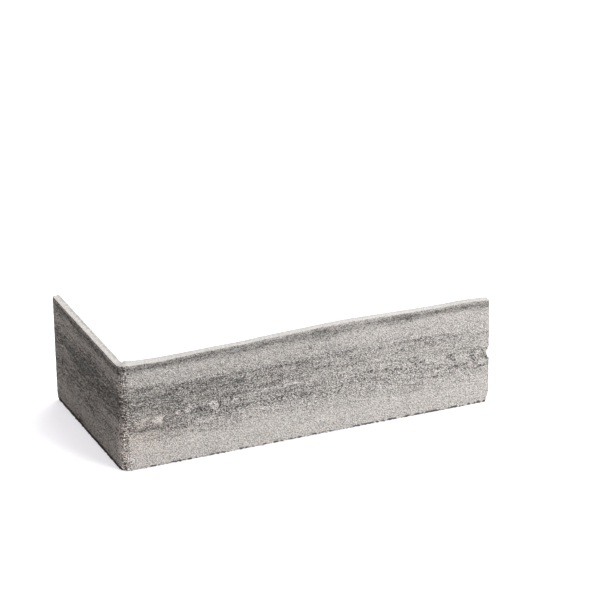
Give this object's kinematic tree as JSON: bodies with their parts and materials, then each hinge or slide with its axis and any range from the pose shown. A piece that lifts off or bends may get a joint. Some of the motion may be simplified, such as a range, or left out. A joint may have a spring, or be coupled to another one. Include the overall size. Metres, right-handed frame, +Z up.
{
  "type": "corner brick slip",
  "caption": "Thin L-shaped facing slip with a sanded, streaked grey face and a rounded bend, bonded round an outer wall corner to carry one brick course.",
  "frame": {"origin": "middle of the box that the slip fills, at the lower edge that it stands on", "axes": "+X along the long leg away from the corner, +Y along the short leg away from the corner, +Z up the course"},
  "size_m": [0.2479, 0.117, 0.0728],
  "materials": {
    "sand_face": "matte, sanded"
  },
  "bodies": {
    "root": {"corner_slip": "sand_face"}
  },
  "joints": []
}
